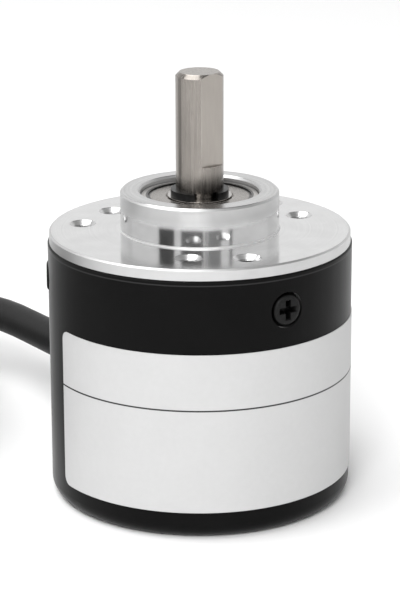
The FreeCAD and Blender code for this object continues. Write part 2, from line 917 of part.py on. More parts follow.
parts = {
    "housing_can": housing_can(),
    "front_flange": front_flange(),
    "side_screws": side_screws(),
    "label": label(),
    "front_outer_ring": outer_ring(front_bearing_z),
    "front_inner_ring": inner_ring(front_bearing_z),
    "front_balls": balls(front_bearing_z),
    "front_cage": ball_cage(front_bearing_z),
    "front_shields": shields(front_bearing_z),
    "rear_outer_ring": outer_ring(rear_bearing_z),
    "rear_inner_ring": inner_ring(rear_bearing_z),
    "rear_balls": balls(rear_bearing_z),
    "rear_cage": ball_cage(rear_bearing_z),
    "rear_shields": shields(rear_bearing_z),
    "preload_washer": preload_washer(),
    "shaft": shaft(),
    "front_snap_ring": snap_ring(front_snap_z),
    "rear_snap_ring": snap_ring(rear_snap_z),
    "disc_hub": disc_hub(),
    "hub_grub_screws": hub_grub_screws(),
    "code_disc": code_disc(),
    "board_posts": board_posts(),
    "circuit_board": circuit_board(),
    "board_screws": board_screws(),
    "signal_chip": under_board(signal_chip_size, board_r - signal_chip_edge_distance, signal_chip_azimuth),
    "driver_chip": under_board(driver_chip_size, board_r - driver_chip_edge_distance, driver_chip_azimuth),
    "chip_parts": chip_parts(),
    "capacitor": capacitor(),
    "wire_socket": under_board(socket_size, socket_face_r - socket_size[0] / 2, cable_azimuth),
    "emitter_holder": emitter_holder(),
    "holder_screws": holder_screws(),
    "light_emitter": light_emitter(),
    "emitter_wires": emitter_wires(),
    "sensor_mask": sensor_mask(),
    "light_sensor": light_sensor(),
    "cable_grommet": cable_grommet(),
    "cable_clamp": cable_clamp(),
    "cable_inner_end": cable_inner_end(),
    "inner_wires": inner_wires(),
    "cable_lead": cable_lead(),
    "cable_coil": cable_coil(),
}
for lead_name, lead_radius, lead_lift in lead_places:
    parts[lead_name] = lead_wire(lead_radius, lead_lift)

os.makedirs("parts", exist_ok=True)
for name, shape in parts.items():
    shape.exportStep("parts/" + name + ".step")
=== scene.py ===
import math

import bmesh
import bpy
from mathutils import Matrix, Vector


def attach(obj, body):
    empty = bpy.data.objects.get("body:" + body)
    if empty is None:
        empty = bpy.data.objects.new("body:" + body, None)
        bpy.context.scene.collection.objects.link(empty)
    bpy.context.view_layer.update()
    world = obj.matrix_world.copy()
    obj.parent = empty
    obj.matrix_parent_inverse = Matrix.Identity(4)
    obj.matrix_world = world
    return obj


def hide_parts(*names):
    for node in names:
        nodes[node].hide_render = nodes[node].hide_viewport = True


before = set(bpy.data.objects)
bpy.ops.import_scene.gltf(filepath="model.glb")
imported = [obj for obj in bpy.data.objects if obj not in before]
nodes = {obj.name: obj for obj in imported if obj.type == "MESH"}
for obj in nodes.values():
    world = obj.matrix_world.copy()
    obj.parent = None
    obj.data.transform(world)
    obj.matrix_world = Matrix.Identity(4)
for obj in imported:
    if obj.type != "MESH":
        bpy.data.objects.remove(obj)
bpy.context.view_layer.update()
MM = 0.001

# Studio: a pale floor, a lit wall behind, a lit panel in front and two soft lamps.
# Dark cards before the panel give the polished metal its dark reflections.
# None of it belongs to the object.
sharp_angle = math.radians(35)
# At scale 1 the stripes of a wave texture repeat after this distance, in metres.
wave_period = 0.314


class Socket:
    """One socket of a material's nodes. Arithmetic on it adds Math nodes, and node() adds any other."""

    def __init__(self, end):
        self.end = end

    def node(self, kind, settings, inputs, output=0):
        tree = self.end.id_data
        new = tree.nodes.new("ShaderNode" + kind)
        for name, value in settings.items():
            setattr(new, name, value)
        for name, value in inputs.items():
            if isinstance(value, Socket):
                tree.links.new(value.end, new.inputs[name])
            else:
                new.inputs[name].default_value = value
        return Socket(new.outputs[output])

    def maths(self, operation, first, second=0.0):
        return self.node("Math", {"operation": operation}, {0: first, 1: second})

    def __add__(self, other):
        return self.maths("ADD", self, other)

    def __mul__(self, other):
        return self.maths("MULTIPLY", self, other)

    def __sub__(self, other):
        return self.maths("SUBTRACT", self, other)

    def __rsub__(self, other):
        return self.maths("SUBTRACT", other, self)

    __radd__ = __add__
    __rmul__ = __mul__

    def between(self, low, high):
        """0 below low, 1 above high, and smooth in between."""
        settings = {"interpolation_type": "SMOOTHSTEP"}
        return self.node("MapRange", settings, {"Value": self, "From Min": low, "From Max": high})

    def band(self, low, high, soft):
        """1 from low to high and 0 outside, with edges this soft."""
        return self.between(low, low + soft) - self.between(high - soft, high)

    def colour(self, none, full):
        """A colour from none, where the socket is 0, to full, where it is 1. Both may be sockets too."""
        return self.node("Mix", {"data_type": "RGBA"}, {0: self, 6: none, 7: full}, 2)

    def stretched(self, x, y, z):
        """The place scaled along each axis, so that a pattern on it grows where the factor is below 1."""
        return self.node("Mapping", {}, {"Vector": self, "Scale": (x, y, z)})

    def noise(self, size, detail=2.0):
        """Cloudy noise whose lumps are about size across, in metres."""
        return self.node("TexNoise", {}, {"Vector": self, "Scale": 1 / size, "Detail": detail})

    def waves(self, pitch, distortion=0.0):
        """Level stripes that repeat up the Z axis at this pitch."""
        inputs = {"Vector": self, "Scale": wave_period / pitch, "Distortion": distortion, "Detail": 1.0}
        return self.node("TexWave", {"bands_direction": "Z"}, inputs, 1)

    def bump(self, depth):
        """A normal that follows the socket as relief, where 1 stands this far above 0."""
        return self.node("Bump", {}, {"Height": self, "Distance": depth})

    def height(self):
        """How far up the Z axis a place lies."""
        return self.node("SeparateXYZ", {}, {0: self}, "Z")

    def reach(self):
        """The distance of a place from the Z axis."""
        flat = self.stretched(1, 1, 0)
        return flat.node("VectorMath", {"operation": "LENGTH"}, {0: flat}, "Value")

    def toward(self, azimuth):
        """How far a place lies from the Z axis in this direction."""
        line = (math.sin(azimuth), -math.cos(azimuth), 0)
        return self.node("VectorMath", {"operation": "DOT_PRODUCT"}, {0: self, 1: line}, "Value")

    def rings(self, count_per_metre):
        """Fine concentric rings about the Z axis, such as a lathe leaves."""
        settings = {"noise_dimensions": "1D"}
        return self.node("TexNoise", settings, {"W": self.reach(), "Scale": count_per_metre, "Detail": 2.0})


def shade(grey, warmth=0.0):
    """An opaque grey, warmer or colder by a small share."""
    return (grey * (1 + warmth), grey, grey * (1 - warmth), 1.0)


def finish(name, constants):
    """A material with its constants set, its shader, and the Object coordinates for its patterns."""
    material = bpy.data.materials.new(name)
    material.use_nodes = True
    shader = material.node_tree.nodes["Principled BSDF"]
    for socket, value in constants.items():
        shader.inputs[socket].default_value = value
    place = Socket(shader.outputs[0]).node("TexCoord", {}, {}, "Object")
    return material, shader, place


def feed(shader, sockets):
    """The shader's inputs take these sockets."""
    for name, value in sockets.items():
        shader.id_data.links.new(value.end, shader.inputs[name])


def coat(material, *pieces):
    """The pieces wear this material."""
    for piece in pieces:
        piece.data.materials.clear()
        piece.data.materials.append(material)


def new_piece(name, mesh_work):
    """A mesh object from a finished bmesh, shaded smooth but for its sharp edges."""
    mesh_work.normal_update()
    for face in mesh_work.faces:
        face.smooth = True
    for edge in mesh_work.edges:
        edge.smooth = edge.calc_face_angle(0.0) < sharp_angle
    mesh = bpy.data.meshes.new(name)
    mesh_work.to_mesh(mesh)
    mesh_work.free()
    piece = bpy.data.objects.new(name, mesh)
    bpy.context.scene.collection.objects.link(piece)
    return piece


floor_size = 4.0
wall_distance = 2.6
wall_height = 2.2
wall_edges = (115, 245)
wall_glow = 0.86
panel_foot = 0.3
panel_height = 1.0
panel_edges = (-115, 115)
panel_glow = 0.98
card_distance = 2.5
card_foot = 0.38
card_height = 0.56
card_steps = 24
# Each card: its name, the azimuths of its two edges in degrees, and its glow.
cards = (
    ("left", -61, -37, 0.02),
    ("middle", -27, 5, 0.1),
    ("line", 8, 10, 0.0),
    ("right", 11.5, 30.5, 0.28),
    ("edge", 43.5, 47.5, 0.2),
)
room_glow = 0.3
lamp_target = Vector((0, 0, 0.03))
camera_distance = 0.28544
camera_height = 0.11353
camera_tilt = math.radians(17.25)
camera_roll = math.radians(-0.16)
focal_px = 2348.1
photo_height_px = 600

floor_work = bmesh.new()
bmesh.ops.create_grid(floor_work, x_segments=1, y_segments=1, size=floor_size)
floor = new_piece("floor", floor_work)
coat(finish("floor_paint", {"Base Color": shade(0.9), "Roughness": 0.6})[0], floor)


def curved_card(name, distance, low, tall, start, end, colours):
    """An upright sheet that follows a circle about the object, between two azimuths in degrees."""
    work = bmesh.new()
    azimuth = math.radians(start)
    foot = work.verts.new((distance * math.sin(azimuth), -distance * math.cos(azimuth), low))
    head = work.verts.new(foot.co + Vector((0, 0, tall)))
    work.edges.new((foot, head))
    bmesh.ops.spin(work, geom=work.verts[:] + work.edges[:], cent=(0, 0, 0), axis=(0, 0, 1),
                   steps=card_steps, angle=math.radians(end - start))
    card = new_piece(name, work)
    coat(finish(name, colours)[0], card)


curved_card("white_wall", wall_distance, 0.0, wall_height, *wall_edges, {
    "Base Color": shade(0.2), "Emission Color": shade(1.0), "Emission Strength": wall_glow,
})
curved_card("white_panel", wall_distance, panel_foot, panel_height, *panel_edges, {
    "Base Color": shade(0.2), "Emission Color": shade(1.0), "Emission Strength": panel_glow,
})
for card_name, card_start, card_end, card_glow in cards:
    curved_card("card_" + card_name, card_distance, card_foot, card_height, card_start, card_end, {
        "Base Color": shade(0.02), "Emission Color": shade(1.0), "Emission Strength": card_glow,
    })

world = bpy.data.worlds.new("bright_room")
world.use_nodes = True
world.node_tree.nodes["Background"].inputs["Color"].default_value = shade(1.0)
world.node_tree.nodes["Background"].inputs["Strength"].default_value = room_glow
bpy.context.scene.world = world
bpy.context.scene.view_settings.view_transform = "Standard"


def soft_lamp(name, place, size, power):
    """A square lamp that looks at the object's middle and that the camera doesn't see."""
    lamp = bpy.data.lights.new(name, "AREA")
    lamp.size = size
    lamp.energy = power
    holder = bpy.data.objects.new(name, lamp)
    holder.location = place
    holder.rotation_euler = (lamp_target - Vector(place)).to_track_quat("-Z", "Y").to_euler()
    holder.visible_camera = False
    bpy.context.scene.collection.objects.link(holder)


soft_lamp("lamp_front", (-0.1, -0.745, 0.6), 0.4, 7.2)
soft_lamp("lamp_above", (-0.4, -0.08, 1.0), 0.8, 7.4)

lens = bpy.data.cameras.new("camera")
lens.lens = focal_px / photo_height_px * lens.sensor_width
lens.clip_start = 0.01
camera = bpy.data.objects.new("camera", lens)
aim = Matrix.Rotation(math.radians(90) - camera_tilt, 4, "X") @ Matrix.Rotation(camera_roll, 4, "Z")
camera.matrix_world = Matrix.Translation((0, -camera_distance, camera_height)) @ aim
bpy.context.scene.collection.objects.link(camera)
bpy.context.scene.camera = camera

# Cable: a round lead of 1.5 m in an extruded black PVC jacket, gripped by the grommet in the can's wall.
# It runs down to the table and into a coil of flat spiral layers, wound in and out again.
cable_d = 4.8 * MM
cable_azimuth = math.radians(213.2)
cable_exit_r = 22.0 * MM
cable_bend_r = 39.0 * MM
cable_z = 9.5 * MM
# The points that steer the cable between its first bend and the coil, in mm.
cable_route = ((-32.0, 48.0, 9.3), (-49.0, 56.2, 6.2), (-68.0, 53.4, 3.0))
coil_centre = Vector((-68.0, 20.8, 0)) * MM
coil_small_r = 19.4 * MM
coil_large_r = 32.6 * MM
coil_floor_z = 3.0 * MM
coil_start = math.radians(90)
layer_pitch = 4.9 * MM
layer_turns = 2.7
layer_count = 3
rise_turns = 0.15
coil_turns = layer_count * layer_turns + (layer_count - 1) * rise_turns
points_per_turn = 20
# A curve runs a little inside the points that steer it, so the points lie further out by this factor.
round_out = 1 / math.cos(math.pi / points_per_turn)


def at_coil(angle, radius, height):
    """A point by its angle and distance about the coil's middle."""
    return coil_centre + Vector((radius * math.cos(angle), radius * math.sin(angle), height))


def coil_section(turn):
    """How far out and how high the cable lies after this many turns."""
    layer, along = divmod(turn, layer_turns + rise_turns)
    share = min(along / layer_turns, 1)
    rise = max(along - layer_turns, 0) / rise_turns
    inward = share if layer % 2 == 0 else 1 - share
    radius = coil_large_r + (coil_small_r - coil_large_r) * inward
    return Vector((radius, coil_floor_z + layer_pitch * (layer + rise)))


def strand(name, points, diameter):
    """A round cord along a smooth line that these points steer."""
    curve = bpy.data.curves.new(name, "CURVE")
    curve.dimensions = "3D"
    curve.bevel_depth = diameter / 2
    curve.bevel_resolution = 6
    curve.use_fill_caps = True
    spline = curve.splines.new("NURBS")
    spline.points.add(len(points) - 1)
    for point, place in zip(spline.points, points):
        point.co = (*place, 1.0)
    spline.order_u = 3
    spline.use_endpoint_u = True
    spline.resolution_u = 6
    piece = bpy.data.objects.new(name, curve)
    bpy.context.scene.collection.objects.link(piece)
    return piece


outward = Vector((math.sin(cable_azimuth), -math.cos(cable_azimuth), 0))
level = Vector((0, 0, cable_z))
cable_points = [outward * cable_exit_r + level, outward * cable_bend_r + level]
cable_points += [Vector(place) * MM for place in cable_route]
for step in range(1, round(coil_turns * points_per_turn) + 1):
    turn = step / points_per_turn
    radius, height = coil_section(turn)
    cable_points.append(at_coil(coil_start + 2 * math.pi * turn, radius * round_out, height))
cable = strand("cable", cable_points, cable_d)

jacket, jacket_shader, jacket_place = finish("cable_jacket", {"Specular IOR Level": 0.2})
jacket_mottle = jacket_place.noise(2.5 * MM, 3.0)
feed(jacket_shader, {
    "Base Color": jacket_mottle.colour(shade(0.009), shade(0.017)),
    "Roughness": jacket_mottle * 0.2 + 0.38,
    "Normal": jacket_place.noise(0.35 * MM).bump(0.03 * MM),
})
coat(jacket, cable, nodes["cable_inner_end"], nodes["inner_wires"])
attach(cable, "housing")
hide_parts("cable_lead", "cable_coil")

# Lead wires: four coloured wires with tinned tips and a bare tinned shield, at the cable's far end.
# They are stranded copper, the four in thin plastic. They lie on the second layer, where the top one stops.
wire_d = 1.2 * MM
tip_d = 0.7 * MM
shield_d = 0.9 * MM
wire_tuck = 0.6 * MM
shield_tuck = 0.5 * MM
tip_overlap = 0.02
wire_base_z = 10.3 * MM
wire_start = math.radians(233)
wire_spread = math.radians(242)
wire_strip = math.radians(318)
wire_end = math.radians(330)
jacket_end_z = 12.8 * MM
wire_step_count = 7
tip_step_count = 3
# Each wire: name, colour, and in mm its distance from the coil's middle, its lift and its side in the jacket.
wire_places = (
    ("red", (0.5, 0.012, 0.01, 1), 18.2, 0.05, 0.9),
    ("black", (0.012, 0.012, 0.012, 1), 19.5, 0.05, 0.3),
    ("green", (0.01, 0.18, 0.04, 1), 20.8, 0.05, -0.5),
    ("white", (0.75, 0.74, 0.7, 1), 18.9, 1.2, 0.4),
)
shield_r = 20.2
shield_lift = 1.2


def wire_line(radius_mm, lift_mm, start, end, count):
    """Points along the notch at one radius and height over the second layer."""
    height = wire_base_z + lift_mm * MM + wire_d / 2
    angles = [start + (end - start) * i / count for i in range(count + 1)]
    return [at_coil(angle, radius_mm * MM, height) for angle in angles]


tinned, tinned_shader, tinned_place = finish("tinned_wire", {
    "Metallic": 1.0, "Base Color": shade(0.62, 0.02),
})
twist = tinned_place.noise(0.3 * MM, 2.0)
feed(tinned_shader, {"Roughness": twist * 0.25 + 0.25, "Normal": twist.bump(0.04 * MM)})

wire_pieces = []
for colour_name, colour, wire_r, wire_lift, lean in wire_places:
    entry = at_coil(wire_start, coil_small_r + lean * MM, jacket_end_z - wire_tuck)
    line = [entry] + wire_line(wire_r, wire_lift, wire_spread, wire_strip, wire_step_count)
    wire = strand("wire_" + colour_name, line, wire_d)
    plastic, plastic_shader, plastic_place = finish("wire_" + colour_name, {
        "Base Color": colour, "Specular IOR Level": 0.4,
    })
    wax = plastic_place.noise(0.8 * MM)
    feed(plastic_shader, {"Roughness": wax * 0.2 + 0.3, "Normal": wax.bump(0.01 * MM)})
    coat(plastic, wire)
    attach(wire, "housing")
    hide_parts("lead_" + colour_name)
    tip_line = wire_line(wire_r, wire_lift, wire_strip - tip_overlap, wire_end, tip_step_count)
    tip = strand("tip_" + colour_name, tip_line, tip_d)
    coat(tinned, tip)
    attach(tip, "housing")
    wire_pieces += [wire, tip]
shield_line = [at_coil(wire_start, coil_small_r, jacket_end_z - shield_tuck)]
shield_line += wire_line(shield_r, shield_lift, wire_spread, wire_end, wire_step_count)
shield = strand("shield_drain", shield_line, shield_d)
coat(tinned, shield, nodes["emitter_wires"])
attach(shield, "housing")
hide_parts("lead_shield")
wire_pieces.append(shield)

# Coil ties: two black straps of woven nylon that hold the put-away coil.
# Each is pulled tight round all the turns, and the coil stands on them.
tie_width = 7 * MM
tie_thickness = 0.4 * MM
tie_slack = 0.15 * MM
tie_steps = 48
tie_angles = {"first": math.radians(32), "second": math.radians(152)}
weave_pitch = 0.6 * MM

webbing, webbing_shader, webbing_place = finish("tie_webbing", {"Roughness": 0.85, "Sheen Weight": 0.3})
ribs = webbing_place.waves(weave_pitch, 2.0)
feed(webbing_shader, {
    "Base Color": ribs.colour(shade(0.008), shade(0.03)),
    "Normal": (ribs + webbing_place.noise(0.4 * MM)).bump(0.05 * MM),
})
tie_half = tie_width / 2
tie_corners = ((0, -tie_half), (tie_thickness, -tie_half), (tie_thickness, tie_half), (0, tie_half))
for tie_name, tie_angle in tie_angles.items():
    first_turn = (tie_angle - coil_start) / (2 * math.pi) % 1
    crossings = [coil_section(first_turn + lap) for lap in range(math.ceil(coil_turns - first_turn))]
    work = bmesh.new()
    sections = []
    for step in range(tie_steps):
        heading = 2 * math.pi * step / tie_steps
        direction = Vector((math.cos(heading), math.sin(heading)))
        outermost = max(crossings, key=direction.dot)
        section = []
        for outward_by, sideways in tie_corners:
            radius, height = outermost + direction * (cable_d / 2 + tie_slack + outward_by)
            section.append(work.verts.new((radius, sideways, height)))
        sections.append(section)
    for step in range(tie_steps):
        for corner in range(len(tie_corners)):
            before, after = sections[step - 1], sections[step]
            work.faces.new((before[corner - 1], before[corner], after[corner], after[corner - 1]))
    bmesh.ops.recalc_face_normals(work, faces=work.faces[:])
    tie_place = Matrix.Translation(coil_centre) @ Matrix.Rotation(tie_angle, 4, "Z")
    bmesh.ops.transform(work, matrix=tie_place, verts=work.verts)
    tie = new_piece("coil_tie_" + tie_name, work)
    coat(webbing, tie)
    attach(tie, "housing")

# Grommet: a moulded bush of black rubber that keeps the cable from chafing.
# Its groove snaps into the hole in the can's wall.
rubber, rubber_shader, rubber_place = finish("grommet_rubber", {"Specular IOR Level": 0.3})
bloom = rubber_place.noise(1.2 * MM, 3.0)
feed(rubber_shader, {
    "Base Color": bloom.colour(shade(0.014), shade(0.026)),
    "Roughness": bloom * 0.15 + 0.6,
    "Normal": rubber_place.noise(0.25 * MM).bump(0.02 * MM),
})
coat(rubber, nodes["cable_grommet"])

# Can: a deep-drawn steel cup with a satin black stoved finish, pushed over the flange's spigot.
# Three plain round recesses near its open edge take the heads of the side screws.
# A thin lighter line below that edge is a painted highlight, for the light on the can's rounded mouth.
highlight_line_z = 32.4 * MM
highlight_line_width = 0.25 * MM
seam = 0.05 * MM
paint, paint_shader, paint_place = finish("black_can", {
    "Specular IOR Level": 0.05, "Sheen Weight": 0.2, "Sheen Roughness": 0.35,
})
drawn = paint_place.stretched(1, 1, 0.08).noise(0.9 * MM, 3.0)
orange_peel = paint_place.noise(0.22 * MM, 1.0)
# The lighter band below the open edge is a painted highlight.
painted_highlight_line = paint_place.height().band(highlight_line_z, highlight_line_z + highlight_line_width, 2 * seam)
thick_paint = paint_place.noise(5 * MM, 3.0).colour(shade(0.0025), shade(0.0045))
feed(paint_shader, {
    "Base Color": painted_highlight_line.colour(thick_paint, shade(0.025)),
    "Roughness": drawn * 0.1 + 0.42,
    "Normal": (orange_peel + drawn * 0.6).bump(0.006 * MM),
})
coat(paint, nodes["housing_can"])

# Front flange: the rim, the plate and the pilot boss in one piece, turned bright from aluminium bar.
# The tool leaves fine rings on the faces, coarser ones on the boss's end, and a satin rim and upper boss.
# Six countersunk and threaded holes take the screws of the machine that carries the encoder.
flange_z = 34.5 * MM
boss_top_z = 39.5 * MM
boss_r = 10.0 * MM
rim_r = 18.7 * MM
holes_from_r = 12.0 * MM
countersink_depth = 0.5 * MM
thread_pitch = 0.5 * MM
hole_edge = 0.03 * MM
foot_top = (0.2 * MM, 0.24 * MM)
foot_edge = (0.15 * MM, 0.2 * MM)
satin_from = 1.9 * MM
satin_full = 3.5 * MM
aluminium, aluminium_shader, aluminium_place = finish("turned_aluminium", {
    "Metallic": 1.0, "Anisotropic": 0.35,
})
lathe = aluminium_place.rings(5200.0)
coarse = aluminium_place.rings(2600.0)
smear = aluminium_place.noise(3.5 * MM, 2.0)
thread_wave = aluminium_place.waves(thread_pitch)
from_axis = aluminium_place.reach()
over_face = aluminium_place.height() - flange_z
boss_face = aluminium_place.height().between(boss_top_z - 2 * seam, boss_top_z - seam)
rim_side = from_axis.between(rim_r, rim_r + 2 * seam)
foot = over_face.between(-2 * seam, -seam) - over_face.between(*foot_top)
foot = foot * (1 - (from_axis - boss_r).between(*foot_edge))
satin_band = over_face.between(satin_from, satin_full) * (1 - boss_face)
hole_area = from_axis.between(holes_from_r, holes_from_r + 2 * seam) * (1 - rim_side)
countersinks = (1 - over_face.between(-2 * hole_edge, -hole_edge)) * hole_area
threads_and_hole_shade = (1 - over_face.between(-countersink_depth - seam, -countersink_depth + seam)) * hole_area
clean = (smear + lathe) * 0.2 + 0.65 + foot * 0.25 - boss_face * coarse * 0.36
# The holes' threaded bores are darkened with painted shade; their thread relief below is real.
clean = clean - threads_and_hole_shade * 0.45 - satin_band * 0.2 - rim_side * 0.16
dullness = boss_face * 0.12 + foot * 0.35 + rim_side * 0.28 + countersinks * 0.22 + satin_band * 0.3
relief = (lathe + boss_face * coarse) * 0.0012 + threads_and_hole_shade * thread_wave * 0.15
feed(aluminium_shader, {
    "Base Color": clean.colour(shade(0.1), shade(0.74)),
    "Roughness": lathe * 0.08 + smear * 0.03 + dullness + 0.06,
    "Normal": relief.bump(1 * MM),
})
coat(aluminium, nodes["front_flange"])

# Side screws: three black oxided steel screws with a domed head and a pressed, tapered cross.
# They go through the can into the flange's spigot, and each head sits in a shallow recess of the can.
screw_azimuth = math.radians(33.2)
screw_height = 28.6 * MM
screw_seat_r = 18.3 * MM
# The screw's own sizes are in mm, and its profile gives radius and height over the seat.
head_height = 1.1
screw_profile = (
    (1.4, head_height), (1.66, 1.05), (1.84, 0.92), (1.94, 0.7), (1.95, 0.0),
    (1.0, 0.0), (1.0, -3.2), (0.7, -3.55),
)
screw_turns = (0, 25, 70)
screw_sides = 48
cross_reach = 1.3
cross_half_width = 0.4
cross_depth = 0.95
cross_taper = 0.55
shade_depth = 0.3


def cross_outline(work, reach, half_width, height):
    """The twelve corners of an upright cross."""
    arm = ((reach, -half_width), (reach, half_width), (half_width, half_width))
    corners = []
    for quarter in range(4):
        turned = Matrix.Rotation(quarter * math.pi / 2, 3, "Z")
        for x, y in arm:
            corners.append(work.verts.new(turned @ Vector((x, y, height))))
    return corners


def cross_screw(work, place):
    """A closed screw along Z with its seat at height 0, in millimetres, put in its place."""
    start = len(work.verts)
    loops = []
    for radius, height in screw_profile:
        circle = bmesh.ops.create_circle(work, segments=screw_sides, radius=radius,
                                         matrix=Matrix.Translation((0, 0, height)))
        loops.append(circle["verts"])
    for upper, lower in zip(loops, loops[1:]):
        for side in range(screw_sides):
            work.faces.new((upper[side - 1], lower[side - 1], lower[side], upper[side]))
    work.faces.new(loops[-1])
    low = head_height - cross_depth
    mouth = cross_outline(work, cross_reach, cross_half_width, head_height)
    bottom = cross_outline(work, cross_reach * cross_taper, cross_half_width * cross_taper, low)
    for corner in range(len(mouth)):
        work.faces.new((mouth[corner - 1], bottom[corner - 1], bottom[corner], mouth[corner]))
    work.faces.new(bottom)
    work.verts.ensure_lookup_table()
    new_verts = set(work.verts[start:])
    borders = [edge for edge in work.edges if edge.is_boundary and edge.verts[0] in new_verts]
    bmesh.ops.triangle_fill(work, edges=borders, use_beauty=True, normal=(0, 0, 1))
    bmesh.ops.transform(work, matrix=place, verts=list(new_verts))


oxide, oxide_shader, oxide_place = finish("black_screw", {"Specular IOR Level": 0.11})
wear = oxide_place.noise(0.5 * MM, 3.0)
head_top_r = screw_seat_r + head_height * MM
# Inside the cross recess the colour falls to near black: painted shade in the recess.
out_of_cross = oxide_place.reach().between(head_top_r - shade_depth * MM, head_top_r - 0.4 * seam)
feed(oxide_shader, {
    "Base Color": ((wear * 0.6 + 0.4) * out_of_cross).colour(shade(0.0005), shade(0.013)),
    "Roughness": wear * 0.2 + 0.38,
    "Normal": wear.bump(0.008 * MM),
})
screw_work = bmesh.new()
for number, turn in enumerate(screw_turns):
    about = Matrix.Rotation(screw_azimuth + number * math.radians(120), 4, "Z")
    seat = Matrix.Translation((0, -screw_seat_r, screw_height)) @ Matrix.Rotation(math.radians(90), 4, "X")
    own = Matrix.Rotation(math.radians(turn), 4, "Z") @ Matrix.Scale(MM, 4)
    cross_screw(screw_work, about @ seat @ own)
bmesh.ops.recalc_face_normals(screw_work, faces=screw_work.faces[:])
cross_screws = new_piece("cross_screws", screw_work)
coat(oxide, cross_screws)
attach(cross_screws, "housing")
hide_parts("side_screws")

# Label: a pale satin film with rounded corners, stuck half-way round the can.
# It is bare but for one printed rule.
rule_z = 16.8 * MM
rule_half = 0.12 * MM
film, film_shader, film_place = finish("label_film", {"Specular IOR Level": 0.4})
rule = film_place.height().band(rule_z - rule_half, rule_z + rule_half, 0.03 * MM)
mottle = film_place.noise(0.7 * MM, 3.0)
clouds = film_place.noise(6 * MM, 2.0)
film_tone = (mottle * 0.5 + clouds * 0.5).colour(shade(0.45), shade(0.51))
feed(film_shader, {
    "Base Color": rule.colour(film_tone, shade(0.02)),
    "Roughness": mottle * 0.15 + 0.42,
    "Normal": mottle.bump(0.004 * MM),
})
coat(film, nodes["label"])

# Ball bearings: ground steel rings, polished steel balls in a brass cage, and two pressed steel shields.
# They sit in the flange's bores, and painted shade darkens the seams between their pieces.
outer_land = (6.75 * MM, 7.35 * MM)
inner_ring_limit = 4.5 * MM
shield_rim = (6.1 * MM, 6.35 * MM)
ground, ground_shader, ground_place = finish("bearing_steel", {"Metallic": 1.0, "Anisotropic": 0.4})
ground_rings = ground_place.rings(7000.0)
# At the seams the rings are painted nearly black: painted shade in the gaps between the pieces.
inner_ring = 1 - ground_place.reach().between(inner_ring_limit, inner_ring_limit + 2 * seam)
unshaded_ring = ground_place.reach().band(*outer_land, 0.08 * MM) + inner_ring
ground_tone = (ground_place.noise(1.5 * MM) * 0.3 + 0.7) * unshaded_ring
feed(ground_shader, {
    "Base Color": ground_tone.colour(shade(0.04, 0.05), shade(0.5, 0.04)),
    "Roughness": ground_rings * 0.12 + 0.14,
    "Normal": ground_rings.bump(0.001 * MM),
})
coat(ground, nodes["front_outer_ring"], nodes["front_inner_ring"], nodes["rear_outer_ring"],
     nodes["rear_inner_ring"])

polished, polished_shader, polished_place = finish("ball_steel", {"Metallic": 1.0})
haze = polished_place.noise(0.6 * MM)
feed(polished_shader, {
    "Base Color": haze.colour(shade(0.66), shade(0.72)),
    "Roughness": haze * 0.05 + 0.03,
})
coat(polished, nodes["front_balls"], nodes["rear_balls"])

brass, brass_shader, brass_place = finish("cage_brass", {"Metallic": 1.0})
tarnish = brass_place.noise(0.8 * MM, 3.0)
feed(brass_shader, {
    "Base Color": tarnish.colour((0.52, 0.36, 0.12, 1), (0.7, 0.5, 0.2, 1)),
    "Roughness": tarnish * 0.15 + 0.25,
    "Normal": tarnish.bump(0.005 * MM),
})
coat(brass, nodes["front_cage"], nodes["rear_cage"])

shield_plate, shield_shader, shield_grain = finish("shield_steel", {"Metallic": 1.0})
stamped = shield_grain.noise(0.5 * MM, 3.0)
# The shield's rim by the outer ring is painted dark: painted shade in the seam.
unshaded_plate = 1 - shield_grain.reach().between(*shield_rim)
shield_tone = (shield_grain.noise(2 * MM) * 0.25 + 0.75) * unshaded_plate
feed(shield_shader, {
    "Base Color": shield_tone.colour(shade(0.03, 0.07), shade(0.35, 0.06)),
    "Roughness": stamped * 0.15 + 0.2,
    "Normal": stamped.bump(0.004 * MM),
})
coat(shield_plate, nodes["front_shields"], nodes["rear_shields"])

# Preload washer: a thin cone of blued spring steel that takes the play out of the two bearings.
# It is clamped between the flange's shoulder and the rear bearing.
spring, spring_shader, spring_place = finish("spring_steel", {"Metallic": 1.0})
blued = spring_place.noise(1.5 * MM, 2.0)
feed(spring_shader, {
    "Base Color": blued.colour((0.28, 0.3, 0.36, 1), (0.4, 0.4, 0.42, 1)),
    "Roughness": blued * 0.1 + 0.25,
})
coat(spring, nodes["preload_washer"])

# Shaft: a ground stainless pin with a milled driving flat and a chamfered end, carried by the two bearings.
# Grinding and milling leave streaks along it; one dark line is a painted reflection, and painted shade
# darkens its foot beside the flat.
flat_azimuth = math.radians(38)
dark_reflection_azimuth = math.radians(-55)
shaft_r = 3.0 * MM
flat_r = 2.5 * MM
flat_foot_z = 42.9 * MM
shaft_end_z = 54.5 * MM
shadow_foot_z = 40.5 * MM
shadow_head_z = 42.5 * MM
stainless, stainless_shader, stainless_place = finish("shaft_steel", {"Metallic": 1.0})
streaks = stainless_place.stretched(1, 1, 0.03).noise(0.3 * MM, 3.0)
mill_marks = stainless_place.stretched(1, 1, 0.15).noise(0.5 * MM, 2.0)
blotches = stainless_place.stretched(1, 1, 0.4).noise(2.2 * MM, 2.0)
up = stainless_place.height()
to_flat = stainless_place.toward(flat_azimuth)
milled = up.between(flat_foot_z - seam, flat_foot_z + seam)
milled = milled * to_flat.between(flat_r - 0.03 * MM, flat_r - 0.01 * MM)
# The round below the flat's foot is darkened with painted shade.
shadow = (1 - up.between(shadow_foot_z, shadow_head_z)) * to_flat.between(0.6 * flat_r, 1.1 * flat_r)
# A thin dark line at one azimuth is a painted reflection.
dark_reflection_line = stainless_place.toward(dark_reflection_azimuth).between(0.99 * shaft_r, 0.997 * shaft_r)
